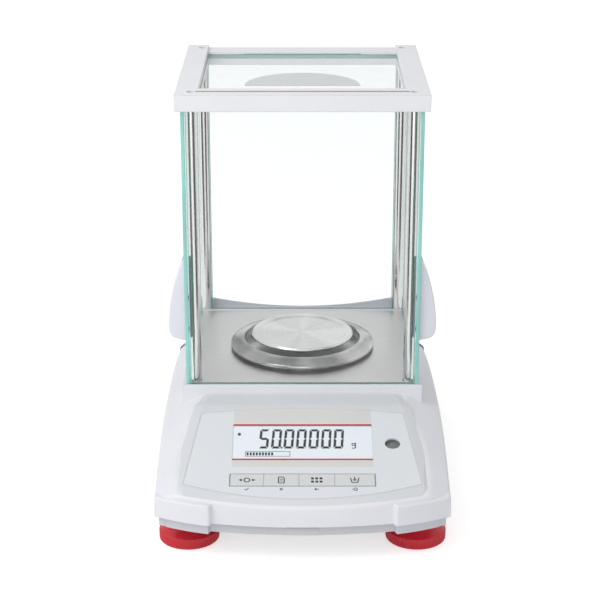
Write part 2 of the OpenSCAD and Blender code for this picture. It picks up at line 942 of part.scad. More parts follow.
module top_glass() {
    glass_x = opening_x + top_groove - 0.2;
    color([0.88, 0.95, 0.95, 0.3])
        translate([-glass_x, opening_front_y - 3.7, top_glass_z])
            cube([2 * glass_x, opening_rear_y + 4 - opening_front_y + 3.7, pane_t]);
}

module top_grip() {
    color([0.86, 0.87, 0.88, 0.8])
        translate([0, grip_y, top_glass_top_z])
            intersection() {
                cylinder(h = grip_t, r = grip_r);
                translate([-grip_r, 0, 0])
                    cube([2 * grip_r, grip_r, grip_t]);
            }
}

module draft_ring() {
    outer = ring_d / 2;
    inner = ring_inner_d / 2;
    top = ring_h;
    color([0.68, 0.68, 0.69])
        translate([0, pan_y, floor_z])
            rotate_extrude()
                polygon([[inner + 0.6, top], [outer - 0.5, top - 3.6], [outer, top - 4.4], [outer, top - 6.2],
                    [outer - 1.4, top - 6.2], [outer - 1.6, top - 5], [inner + 4, top - 2.4], [inner + 2.6, top - 2.8],
                    [inner + 2.6, 0], [inner + 1, 0], [inner + 1, top - 4], [inner, top - 1.2]]);
}

module weighing_pan() {
    r = pan_d / 2;
    color([0.74, 0.74, 0.75])
        translate([0, pan_y, 0])
            difference() {
                rotate_extrude()
                    polygon([[0, pan_top_z - 0.9], [r - 6, pan_top_z - 0.9], [r - 5, pan_top_z], [r - 1, pan_top_z],
                        [r, pan_top_z - 1.2], [r, pan_top_z - 2.4], [r - 1.4, pan_top_z - 2.4], [9, pan_top_z - 2.6],
                        [9, spindle_top_z], [0, spindle_top_z]]);
                translate([0, 0, spindle_top_z - over])
                    cylinder(h = pin_top_z - spindle_top_z + 0.3 + over, r = pin_d / 2 + bore_play);
            }
}

module pan_spindle() {
    top = spindle_top_z;
    color([0.62, 0.62, 0.64])
        translate([0, pan_y, cell_z + cell_h]) {
            cylinder(h = top - cell_z - cell_h, d = spindle_d);
            cylinder(h = 4, d = spindle_d + 10);
            cylinder(h = pin_top_z - cell_z - cell_h, d = pin_d);
        }
}

// Parallelogram block of the weigh cell, with its flexures cut through
module weigh_cell() {
    color([0.72, 0.73, 0.75])
        translate([-cell_w / 2, cell_y - cell_l / 2, cell_z])
            difference() {
                cube([cell_w, cell_l, cell_h]);
                translate([-over, 26, 4])
                    cube([cell_w + 2 * over, cell_l - 44, 6]);
                translate([-over, 26, cell_h - 10])
                    cube([cell_w + 2 * over, cell_l - 44, 6]);
                for (y = [29, cell_l - 21], z = [6, cell_h - 6])
                    translate([-over, y, z])
                        rotate([0, 90, 0])
                            cylinder(h = cell_w + 2 * over, r = 5);
            }
}

module cell_magnet() {
    color([0.5, 0.51, 0.53])
        translate([0, magnet_y, tray_z + tray_wall])
            difference() {
                cylinder(h = magnet_h, d = magnet_d);
                translate([0, 0, 8])
                    cylinder(h = magnet_h, d = coil_d + 4);
                translate([-5, 0, magnet_h - 8])
                    cube([10, magnet_d, 10]);
            }
}

module cell_lever() {
    color([0.8, 0.7, 0.4])
        translate([0, magnet_y, 0]) {
            translate([-4, 0, cell_z + cell_h / 2 - lever_h / 2])
                cube([8, cell_y - cell_l / 2 - magnet_y, lever_h]);
            translate([0, 0, tray_z + tray_wall + 12])
                cylinder(h = cell_z + cell_h / 2 + lever_h / 2 - tray_z - tray_wall - 12, d = coil_d);
        }
}

module main_board() {
    color([0.1, 0.45, 0.25])
        translate([-board_x, board_front_y, board_z])
            difference() {
                cube([2 * board_x, rear_y - skin - 4 - board_front_y, board_t]);
                for (p = screw_spots)
                    translate([p[0] + board_x, p[1] - board_front_y, -over])
                        cylinder(h = board_t + 2 * over, d = boss_d + 1);
            }
}

module port(i, depth) {
    w = port_size[i][0];
    h = port_size[i][1];
    low = board_z + board_t;
    translate([port_spots[i] - w / 2, rear_y - depth - 0.3, low])
        cube([w, depth, port_z + h / 2 - low]);
}

module serial_port() {
    color([0.7, 0.7, 0.72])
        difference() {
            port(0, 14);
            translate([port_spots[0] - 9, rear_y - 6.5, port_z - 4.2])
                cube([18, 7, 8.4]);
        }
}

module usb_port() {
    color([0.7, 0.7, 0.72])
        difference() {
            port(1, 16);
            translate([port_spots[1] - 4.3, rear_y - 10.3, port_z - 4])
                cube([8.6, 11, 8]);
        }
}

module power_inlet() {
    color([0.15, 0.15, 0.16])
        difference() {
            port(2, 13);
            translate([port_spots[2], rear_y - 0.3 - 9.5, port_z])
                rotate([-90, 0, 0])
                    cylinder(h = 11, d = 5.6);
        }
    color([0.8, 0.8, 0.8])
        translate([port_spots[2], rear_y - 0.3 - 9.6, port_z])
            rotate([-90, 0, 0])
                cylinder(h = 8, d = 2.1);
}

module right_foot_pad() {
    color([0.12, 0.12, 0.13])
        translate([foot_x, foot_y, 0]) {
            cylinder(h = pad_t, d = wheel_d - 10);
            cylinder(h = pad_t + pin_h, d = pin_d);
        }
}

module left_foot_pad() {
    mirror([1, 0, 0])
        right_foot_pad();
}

// Knurled wheel, hollowed from below for the pad
module right_foot_wheel() {
    top = tray_z - wheel_gap;
    knurls = 60;
    color([0.8, 0.1, 0.16])
        translate([foot_x, foot_y, 0])
            difference() {
                rotate_extrude()
                    polygon([[0, 0.4], [wheel_d / 2 - 1, 0.4], [wheel_d / 2, 1.4], [wheel_d / 2, wheel_rim_h - 0.6],
                        [wheel_d / 2 - 0.6, wheel_rim_h], [wheel_d / 2 - 3, wheel_rim_h + 1.6], [hub_d / 2 + 4, wheel_rim_h + 4.5],
                        [hub_d / 2, top], [0, top]]);
                translate([0, 0, -over])
                    cylinder(h = pad_t + 0.2 + over, d = wheel_d - 9);
                translate([0, 0, -over])
                    cylinder(h = pad_t + pin_h + 0.3 + over, r = pin_d / 2 + bore_play);
                translate([0, 0, pad_t + pin_h + 2])
                    cylinder(h = top, r = stud_d / 2);
                for (i = [0:knurls - 1])
                    rotate(360 * i / knurls)
                        translate([wheel_d / 2 + 0.25, 0, 0])
                            cylinder(h = wheel_rim_h + 1, r = 0.6, $fn = 16);
            }
}

module left_foot_wheel() {
    mirror([1, 0, 0])
        right_foot_wheel();
}

module right_foot_screw() {
    color([0.7, 0.7, 0.72])
        translate([foot_x, foot_y, pad_t + pin_h + 2])
            cylinder(h = stud_top_z - pad_t - pin_h - 2, d = stud_d);
}

module left_foot_screw() {
    mirror([1, 0, 0])
        right_foot_screw();
}

module foot_inserts() {
    color([0.8, 0.65, 0.3])
        both_sides()
            translate([foot_x, foot_y, tray_z])
                difference() {
                    cylinder(h = insert_h, d = insert_d);
                    translate([0, 0, -over])
                        cylinder(h = insert_h + 2 * over, r = stud_d / 2 + bore_play);
                }
}

module rear_feet() {
    color([0.12, 0.12, 0.13])
        both_sides()
            translate([rear_foot_x, rear_foot_y, 0])
                cylinder(h = pad_t + 1.8, d = rear_foot_d - 2);
}

module base_screws() {
    color([0.6, 0.6, 0.62])
        for (p = screw_spots)
            translate([p[0], p[1], tray_z])
                difference() {
                    union() {
                        translate([0, 0, 0.2])
                            cylinder(h = 1.4, d = 6.4);
                        translate([0, 0, 1])
                            cylinder(h = base_z + 6 - tray_z, d = self_tap_d);
                    }
                    translate([-2.5, -0.4, -over])
                        cube([5, 0.8, over + 0.9]);
                    translate([-0.4, -2.5, -over])
                        cube([0.8, 5, over + 0.9]);
                }
}

base_tray();
upper_housing();
console_frame();
keypad_film();
display_window();
lcd_panel();
lcd_holder();
display_board();
key_switches();
key_zero();
key_print();
key_mode();
key_tare();
level_cup();
level_vial();
floor_plate();
front_post_left();
front_post_right();
rear_post_left();
rear_post_right();
post_base_screws();
top_frame();
frame_screws();
accent_strip();
front_glass();
rear_glass();
left_door_glass();
right_door_glass();
left_door_hanger();
right_door_hanger();
left_handle();
right_handle();
left_handle_screws();
right_handle_screws();
top_glass();
top_grip();
draft_ring();
weighing_pan();
pan_spindle();
weigh_cell();
cell_magnet();
cell_lever();
main_board();
power_inlet();
serial_port();
usb_port();
left_foot_pad();
right_foot_pad();
left_foot_wheel();
right_foot_wheel();
left_foot_screw();
right_foot_screw();
foot_inserts();
rear_feet();
base_screws();
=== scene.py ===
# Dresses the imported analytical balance: metres, +Z up, front towards -Y, origin on the table.
import math

import bmesh
import bpy
from mathutils import Matrix, Vector


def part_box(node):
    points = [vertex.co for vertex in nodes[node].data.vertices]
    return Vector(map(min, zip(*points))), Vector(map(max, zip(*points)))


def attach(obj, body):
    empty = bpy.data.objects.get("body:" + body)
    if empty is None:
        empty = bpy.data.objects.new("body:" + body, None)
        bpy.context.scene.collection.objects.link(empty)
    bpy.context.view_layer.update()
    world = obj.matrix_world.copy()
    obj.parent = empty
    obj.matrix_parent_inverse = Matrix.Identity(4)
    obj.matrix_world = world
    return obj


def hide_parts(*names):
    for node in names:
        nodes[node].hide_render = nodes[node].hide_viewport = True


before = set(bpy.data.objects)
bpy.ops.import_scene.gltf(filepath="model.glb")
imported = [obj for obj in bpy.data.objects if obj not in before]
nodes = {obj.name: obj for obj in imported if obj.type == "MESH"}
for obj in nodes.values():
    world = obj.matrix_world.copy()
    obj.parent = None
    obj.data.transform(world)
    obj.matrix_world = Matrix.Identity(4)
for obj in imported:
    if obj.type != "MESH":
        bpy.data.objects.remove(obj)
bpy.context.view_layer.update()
mm = 0.001
print("frame loaded:", len(nodes), "nodes")


def srgb(r, g, b):
    channels = [c / 255 for c in (r, g, b)]
    return tuple(c / 12.92 if c <= 0.04045 else ((c + 0.055) / 1.055) ** 2.4 for c in channels) + (1.0,)


def shade(color, factor):
    return tuple(min(c * factor, 1.0) for c in color[:3]) + (1.0,)


# Adds a shader node: inputs are linked or set, settings are its properties
def nodeOf(tree, kind, inputs=None, **settings):
    node = tree.nodes.new(kind)
    for key, value in settings.items():
        setattr(node, key, value)
    for socket, value in (inputs or {}).items():
        if isinstance(value, bpy.types.NodeSocket):
            tree.links.new(value, node.inputs[socket])
        else:
            node.inputs[socket].default_value = value
    return node


def startFinish(name, color, rough, metal=0.0, sockets=None):
    material = bpy.data.materials.new(name)
    material.use_nodes = True
    material.diffuse_color = color
    tree = material.node_tree
    bsdf = tree.nodes["Principled BSDF"]
    values = {"Base Color": color, "Roughness": rough, "Metallic": metal, **(sockets or {})}
    for socket, value in values.items():
        bsdf.inputs[socket].default_value = value
    place = nodeOf(tree, "ShaderNodeTexCoord").outputs["Object"]
    return material, tree, bsdf, place


def stretched(tree, place, scale):
    return nodeOf(tree, "ShaderNodeMapping", {"Vector": place, "Scale": scale}).outputs[0]


def noiseOf(tree, place, scale, detail=2.0):
    inputs = {"Vector": place, "Scale": scale, "Detail": detail}
    return nodeOf(tree, "ShaderNodeTexNoise", inputs).outputs[0]


def spread(tree, value, low, high, start=0.3, end=0.7):
    inputs = {0: value, 1: start, 2: end, 3: low, 4: high}
    return nodeOf(tree, "ShaderNodeMapRange", inputs).outputs[0]


def between(tree, value, dark, light, start=0.3, end=0.7):
    ramp = nodeOf(tree, "ShaderNodeValToRGB", {"Fac": value})
    ramp.color_ramp.elements[0].position = start
    ramp.color_ramp.elements[0].color = dark
    ramp.color_ramp.elements[1].position = end
    ramp.color_ramp.elements[1].color = light
    return ramp.outputs["Color"]


def roughen(tree, bsdf, height, depth, strength=0.4, corner=0.0):
    bump = nodeOf(tree, "ShaderNodeBump", {"Height": height, "Distance": depth, "Strength": strength})
    if corner:
        soft = nodeOf(tree, "ShaderNodeBevel", {"Radius": corner * mm}, samples=6)
        tree.links.new(soft.outputs[0], bump.inputs["Normal"])
    tree.links.new(bump.outputs[0], bsdf.inputs["Normal"])


# Moulded plastic: fine spark-eroded grain, faint mottling, roughness that varies with the grain
def mouldedFinish(name, color, rough, grain=0.5, depth=0.012, mottling=0.03, corner=0.0, sockets=None):
    material, tree, bsdf, place = startFinish(name, color, rough, 0.0, sockets)
    fine = noiseOf(tree, place, 1 / (grain * mm), 3.0)
    broad = noiseOf(tree, place, 22.0, 2.0)
    tree.links.new(between(tree, broad, shade(color, 1 - mottling), color), bsdf.inputs["Base Color"])
    tree.links.new(spread(tree, fine, rough - 0.05, rough + 0.05), bsdf.inputs["Roughness"])
    roughen(tree, bsdf, fine, depth * mm, corner=corner)
    return material


# Metal brushed along one axis: long thin scratches in colour, roughness and height
def brushedFinish(name, color, rough, along, grain=0.35, contrast=0.25):
    material, tree, bsdf, place = startFinish(name, color, rough, 1.0)
    scale = [1 / (grain * mm)] * 3
    scale["xyz".index(along)] = 12.0
    lines = noiseOf(tree, stretched(tree, place, scale), 1.0, 3.0)
    cloud = noiseOf(tree, place, 14.0)
    tree.links.new(between(tree, lines, shade(color, 1 - contrast), shade(color, 1 + contrast / 3)),
                   bsdf.inputs["Base Color"])
    tree.links.new(spread(tree, cloud, rough - 0.06, rough + 0.06), bsdf.inputs["Roughness"])
    roughen(tree, bsdf, lines, 0.02 * mm, 0.25)
    return material


# Metal turned on a lathe: rings round a vertical axis through centre, plus painted reflection: light and dark
# sectors round that axis painted into the colour
def turnedFinish(name, color, rough, centre, grain=0.4, contrast=0.3, paintedFanContrast=0.0):
    material, tree, bsdf, place = startFinish(name, color, rough, 1.0)
    offset = nodeOf(tree, "ShaderNodeVectorMath", {0: place, 1: centre}, operation="SUBTRACT").outputs[0]
    flat = nodeOf(tree, "ShaderNodeVectorMath", {0: offset, 1: (1, 1, 0)}, operation="MULTIPLY").outputs[0]
    radius = nodeOf(tree, "ShaderNodeVectorMath", {0: flat}, operation="LENGTH").outputs["Value"]
    turns = nodeOf(tree, "ShaderNodeTexNoise", {"W": radius, "Scale": 1 / (grain * mm), "Detail": 3.0},
                   noise_dimensions="1D").outputs[0]
    direction = nodeOf(tree, "ShaderNodeVectorMath", {0: flat}, operation="NORMALIZE").outputs[0]
    paintedFan = noiseOf(tree, direction, 1.6, 1.0)      # painted reflection: light and dark sectors painted into the colour, standing for the highlight fans of turned faces
    paintedFanTone = between(tree, paintedFan, shade(color, 1 - paintedFanContrast), shade(color, 1 + paintedFanContrast / 4), 0.35, 0.65)
    rings = between(tree, turns, shade((1, 1, 1), 1 - contrast), (1, 1, 1, 1))
    mixed = nodeOf(tree, "ShaderNodeMix", {0: 1.0, 6: paintedFanTone, 7: rings}, data_type="RGBA",
                   blend_type="MULTIPLY")
    tree.links.new(mixed.outputs[2], bsdf.inputs["Base Color"])
    tree.links.new(spread(tree, turns, rough - 0.05, rough + 0.07), bsdf.inputs["Roughness"])
    roughen(tree, bsdf, turns, 0.015 * mm, 0.3)
    return material


# Clear pane: see-through face on, shiny at a slant, with faint wiping marks
def paneFinish(name, body, tint, edge=1.45):
    material, tree, bsdf, place = startFinish(name, body, 0.04)
    marks = spread(tree, noiseOf(tree, stretched(tree, place, (9, 9, 3)), 2.0), 0.85, 1.15)
    sheen = nodeOf(tree, "ShaderNodeFresnel", {"IOR": edge}).outputs[0]
    behind = nodeOf(tree, "ShaderNodeNewGeometry").outputs["Backfacing"]
    front = nodeOf(tree, "ShaderNodeMath", {0: 1.0, 1: behind}, operation="SUBTRACT").outputs[0]
    cover = nodeOf(tree, "ShaderNodeMath", {0: sheen, 1: marks}, operation="MULTIPLY").outputs[0]
    cover = nodeOf(tree, "ShaderNodeMath", {0: cover, 1: front}, operation="MULTIPLY").outputs[0]
    clear = nodeOf(tree, "ShaderNodeBsdfTransparent", {"Color": tint}).outputs[0]
    mixed = nodeOf(tree, "ShaderNodeMixShader", {0: cover, 1: clear, 2: bsdf.outputs[0]}).outputs[0]
    tree.links.new(mixed, tree.nodes["Material Output"].inputs["Surface"])
    return material


# Circuit board: lacquer with faint copper tracks under it
def boardFinish(name, color):
    material, tree, bsdf, place = startFinish(name, color, 0.35)
    tracks = nodeOf(tree, "ShaderNodeTexBrick", {"Vector": place, "Scale": 180.0, "Mortar Size": 0.04,
                    "Color1": color, "Color2": shade(color, 0.8), "Mortar": shade(color, 1.7)}).outputs[0]
    tree.links.new(tracks, bsdf.inputs["Base Color"])
    roughen(tree, bsdf, noiseOf(tree, place, 900.0), 0.01 * mm)
    return material


panLow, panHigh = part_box("weighing_pan")
panY = panLow.y / 2 + panHigh.y / 2

looks = {
    "housing": mouldedFinish("housing_white", srgb(232, 233, 239), 0.42, corner=1.0),
    "shieldWhite": mouldedFinish("shield_white", srgb(236, 237, 241), 0.38, corner=1.0),
    "handleWhite": mouldedFinish("handle_white", srgb(232, 233, 242), 0.36),
    "panel": mouldedFinish("panel_grey", srgb(216, 219, 223), 0.4),
    "film": mouldedFinish("film_matt", srgb(226, 230, 234), 0.34, grain=0.25, depth=0.005, mottling=0.01),
    "keys": mouldedFinish("key_grey", srgb(217, 219, 221), 0.36, grain=0.25, depth=0.006, mottling=0.02),
    "tray": mouldedFinish("tray_grey", srgb(206, 208, 214), 0.5, grain=0.7),
    # the last number of each turned finish sets the strength of its painted reflection sectors
    "ringPlate": turnedFinish("ring_steel", (0.6, 0.59, 0.58, 1), 0.2, (0, panY, 0), 0.9, 0.12, 0.5),
    "panSteel": turnedFinish("pan_steel", (0.8, 0.79, 0.78, 1), 0.22, (0, panY, 0), 0.7, 0.1, 0.12),
    "spindle": turnedFinish("spindle_steel", (0.6, 0.6, 0.59, 1), 0.3, (0, panY, 0), 0.5, 0.2, 0.5),
    "floorSteel": brushedFinish("floor_steel", (0.68, 0.675, 0.67, 1), 0.36, "x", 0.4, 0.1),
    "post": brushedFinish("post_steel", (0.7, 0.69, 0.68, 1), 0.16, "z", 3.0, 0.08),
    "screw": brushedFinish("screw_steel", (0.3, 0.3, 0.31, 1), 0.3, "x", 0.3, 0.2),
    "pane": paneFinish("pane_glass", srgb(244, 249, 249), (0.966, 0.972, 0.973, 1)),
    "paneEdge": mouldedFinish("pane_edge", srgb(150, 218, 210), 0.12, grain=0.9, depth=0.004, mottling=0.2),
    "display": paneFinish("display_pane", srgb(235, 240, 245), (0.98, 0.985, 0.99, 1), 1.3),
    "lcd": mouldedFinish("lcd_white", srgb(240, 246, 251), 0.3, grain=0.3, depth=0.002, mottling=0.015,
                         sockets={"Emission Color": srgb(236, 244, 252), "Emission Strength": 0.06}),
    "ink": mouldedFinish("ink_dark", srgb(38, 38, 42), 0.45, grain=0.2, depth=0.002, mottling=0.1),
    "redInk": mouldedFinish("ink_red", srgb(196, 18, 36), 0.4, grain=0.2, depth=0.002, mottling=0.05),
    # grey for the printed lower band, and for the upper band as painted shade
    "greyPrintAndShade": mouldedFinish("ink_grey_and_painted_shade", srgb(219, 219, 217), 0.4, grain=0.2, depth=0.002, mottling=0.02),
    "lineInk": mouldedFinish("ink_line", srgb(150, 153, 157), 0.4, grain=0.2, depth=0.002, mottling=0.04),
    "wheelRed": mouldedFinish("wheel_red", srgb(204, 14, 38), 0.34, grain=0.6, depth=0.01, mottling=0.08),
    "stripRed": mouldedFinish("strip_red", srgb(172, 20, 34), 0.35, mottling=0.04),
    "grip": mouldedFinish("grip_pad", srgb(212, 216, 219), 0.4, mottling=0.03),
    "runner": mouldedFinish("runner_white", srgb(222, 222, 226), 0.45),
    "cup": mouldedFinish("cup_grey", srgb(150, 151, 156), 0.5),
    "liquid": mouldedFinish("vial_liquid", srgb(128, 131, 132), 0.1, mottling=0.06),
    "board": boardFinish("board_green", srgb(24, 104, 62)),
    "black": mouldedFinish("black_plastic", srgb(40, 40, 43), 0.5, grain=0.6),
    "rubber": mouldedFinish("rubber_black", srgb(32, 32, 34), 0.75, grain=0.8, depth=0.03),
    "aluminium": brushedFinish("cell_aluminium", (0.62, 0.63, 0.65, 1), 0.38, "y"),
    "magnet": brushedFinish("magnet_steel", (0.4, 0.41, 0.43, 1), 0.35, "z"),
    "brass": brushedFinish("insert_brass", (0.7, 0.52, 0.24, 1), 0.3, "z"),
    "shell": brushedFinish("port_shell", (0.6, 0.6, 0.62, 1), 0.32, "x"),
}

nodeLooks = {
    "base_tray": "tray", "upper_housing": "housing", "console_frame": "panel", "keypad_film": "film",
    "display_window": "display", "lcd_panel": "lcd", "lcd_holder": "runner", "display_board": "board",
    "key_switches": "black", "key_zero": "keys", "key_print": "keys", "key_mode": "keys", "key_tare": "keys",
    "level_cup": "cup", "level_vial": "liquid", "floor_plate": "floorSteel", "front_post_left": "post",
    "front_post_right": "post", "rear_post_left": "post", "rear_post_right": "post",
    "post_base_screws": "screw", "top_frame": "shieldWhite", "frame_screws": "screw",
    "accent_strip": "stripRed", "front_glass": "pane", "rear_glass": "pane", "left_door_glass": "pane",
    "right_door_glass": "pane", "left_door_hanger": "runner", "right_door_hanger": "runner",
    "left_handle": "handleWhite", "right_handle": "handleWhite", "left_handle_screws": "screw",
    "right_handle_screws": "screw", "top_glass": "pane", "top_grip": "grip", "draft_ring": "ringPlate",
    "weighing_pan": "panSteel", "pan_spindle": "spindle", "weigh_cell": "aluminium", "cell_magnet": "magnet",
    "cell_lever": "brass", "main_board": "board", "power_inlet": "black", "serial_port": "shell",
    "usb_port": "shell", "left_foot_pad": "rubber", "right_foot_pad": "rubber", "left_foot_wheel": "wheelRed",
    "right_foot_wheel": "wheelRed", "left_foot_screw": "screw", "right_foot_screw": "screw",
    "foot_inserts": "brass", "rear_feet": "rubber", "base_screws": "screw",
}
for name, look in nodeLooks.items():
    materials = nodes[name].data.materials
    for i in range(max(len(materials), 1)):
        if len(materials) == 0:
            materials.append(looks[look])
        nodes[name].material_slots[i].material = looks[look]
print("finishes set")


# Rounds the hard edges of a carried-over node, after joining the seams its faces meet at
def softEdges(name, width, segments=2, angle=32):
    weld = nodes[name].modifiers.new("seams", "WELD")
    weld.merge_threshold = 0.002 * mm
    bevel = nodes[name].modifiers.new("edges", "BEVEL")
    bevel.width = width * mm
    bevel.segments = segments
    bevel.limit_method = "ANGLE"
    bevel.angle_limit = math.radians(angle)
    bevel.harden_normals = True
    bevel.use_clamp_overlap = True


# Puts a mesh on a body, in a material slot, in place of the CAD nodes that it stands for
def meshPiece(name, mesh, body, materials, stands=()):
    piece = bpy.data.objects.new(name, mesh)
    bpy.context.scene.collection.objects.link(piece)
    for material in materials:
        mesh.materials.append(looks[material])
    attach(piece, body)
    if stands:
        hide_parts(*stands)
    return piece


def closeMesh(bm, name, smooth=32):
    bmesh.ops.remove_doubles(bm, verts=bm.verts, dist=0.0005 * mm)
    bmesh.ops.recalc_face_normals(bm, faces=bm.faces)
    mesh = bpy.data.meshes.new(name)
    bm.to_mesh(mesh)
    bm.free()
    mesh.polygons.foreach_set("use_smooth", [True] * len(mesh.polygons))
    mesh.set_sharp_from_angle(angle=math.radians(smooth))
    return mesh


def addBlock(bm, low, high, round=0.0, segments=2):
    middle = (Vector(low) + Vector(high)) / 2
    size = Vector(high) - Vector(low)
    place = Matrix.Translation(middle) @ Matrix.Diagonal((*size, 1))
    made = bmesh.ops.create_cube(bm, size=1.0, matrix=place)
    if round:
        edges = list({e for v in made["verts"] for e in v.link_edges})
        bmesh.ops.bevel(bm, geom=edges, offset=round, segments=segments, profile=0.5, affect="EDGES")


# Closed skin through rings with equal counts of points
def addLoft(bm, rings):
    loops = [[bm.verts.new(p) for p in ring] for ring in rings]
    count = len(loops[0])
    for a, b in zip(loops, loops[1:]):
        for i in range(count):
            j = (i + 1) % count
            bm.faces.new((a[i], a[j], b[j], b[i]))
    bm.faces.new(loops[0])
    bm.faces.new(loops[-1])


# Panel plane: x across, s down the slope from the film's top edge, n out of it
panelTilt = math.radians(17.9)
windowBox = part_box("display_window")
windowTop = 18.3 * mm      # down the slope from the film's edge to the window's
filmT = 0.5 * mm
panelOrigin = Vector((0, windowBox[1].y + windowTop * math.cos(panelTilt) - filmT * math.sin(panelTilt),
                      windowBox[1].z + windowTop * math.sin(panelTilt)))
downSlope = Vector((0, -math.cos(panelTilt), -math.sin(panelTilt)))
outOfPanel = Vector((0, -math.sin(panelTilt), math.cos(panelTilt)))


def onPanel(x, s, n=0.0):
    return panelOrigin + Vector((x * mm, 0, 0)) + downSlope * (s * mm) + outOfPanel * (n * mm)


# Flat marks on the panel, print and one strip of painted shade: shapes in panel millimetres, a few hundredths thick
def printed(name, shapes, ink, body="base", slot="keypad_film", low=0.0, high=0.03):
    bm = bmesh.new()
    for shape in shapes:
        addLoft(bm, [[onPanel(x, s, n) for x, s in shape] for n in (low, high)])
    return meshPiece(name, closeMesh(bm, name), body, [ink])


def bar(x0, s0, x1, s1):
    return [(x0, s0), (x1, s0), (x1, s1), (x0, s1)]


def stroke(x0, s0, x1, s1, width):
    length = math.hypot(x1 - x0, s1 - s0)
    dx, ds = (s1 - s0) / length * width / 2, -(x1 - x0) / length * width / 2
    return [(x0 + dx, s0 + ds), (x1 + dx, s1 + ds), (x1 - dx, s1 - ds), (x0 - dx, s0 - ds)]


def strokes(points, width, closed=False):
    ends = points[1:] + (points[:1] if closed else [])
    shortest = 0.01
    return [stroke(*a, *b, width) for a, b in zip(points, ends) if math.dist(a, b) > shortest]


def circle(x, s, radius, count=20, start=0.0, sweep=360.0):
    angles = [math.radians(start + sweep * i / count) for i in range(count + (0 if sweep == 360.0 else 1))]
    return [(x + radius * math.cos(a), s + radius * math.sin(a)) for a in angles]


filmPrintAndShade = {
    "bandX": 50.4, "shadeBandEnd": 17.6, "lowerBand": 62.8, "line": 1.5, "upperLine": 18.33, "lowerLine": 54.95,
    "keysTop": 70.3, "keysBottom": 81.9, "keysX": 51.0, "outline": 0.45, "margin": 0.3, "edgeTop": 0.5,
    "arcHalfWidth": 74.2, "arcRise": 5.8,
}


def makeFilmPrintAndShade():
    f = filmPrintAndShade
    arcR = (f["arcHalfWidth"] ** 2 + f["arcRise"] ** 2) / (2 * f["arcRise"])
    topEdge = [(x, f["edgeTop"] + arcR - math.sqrt(arcR ** 2 - x * x)) for x in
               [f["bandX"] * (i / 8 - 1) for i in range(17)]]
    ends = [(f["bandX"], f["shadeBandEnd"]), (-f["bandX"], f["shadeBandEnd"])]
    # painted shade: a darker grey strip over the top of the flat film, standing for the shade of a more tilted band
    printed("painted_shade_upper_band", [topEdge + ends], "greyPrintAndShade")
    half = f["line"] / 2
    printed("print_lower_band", [bar(-f["bandX"], f["lowerLine"] + 0.7, f["bandX"], f["lowerBand"])],
            "greyPrintAndShade")
    printed("print_red_lines", [bar(-f["bandX"], s - half, f["bandX"], s + half)
                                for s in (f["upperLine"], f["lowerLine"])], "redInk", high=0.05)
    w = f["outline"]
    x, s0, s1 = f["keysX"] + f["margin"], f["keysTop"] - f["margin"], f["keysBottom"] + f["margin"]
    printed("print_key_outline", [bar(-x - w, s0 - w, x + w, s0), bar(-x - w, s1, x + w, s1 + w),
                                  bar(-x - w, s0, -x, s1), bar(x, s0, x + w, s1)], "lineInk", high=0.02)


makeFilmPrintAndShade()

readout = {
    "digits": "5000000", "pointAfter": 1, "left": -31.8, "pitch": 9.0, "width": 7.0,
    "top": 22.6, "bottom": 43.0, "stroke": 1.8, "slant": 0.055, "gap": 0.14, "mitre": 0.5, "low": -0.5, "high": -0.4,
    "star": (-45.9, 27.8), "starStroke": 0.8, "unit": (36.9, 38.7), "unitR": 1.2, "unitStroke": 0.75,
    "guide": (-41, 46.2, -9, 51.2), "guideStroke": 0.35, "guideBars": 9,
}
segmentsOf = {"0": "abcdef", "5": "acdfg"}


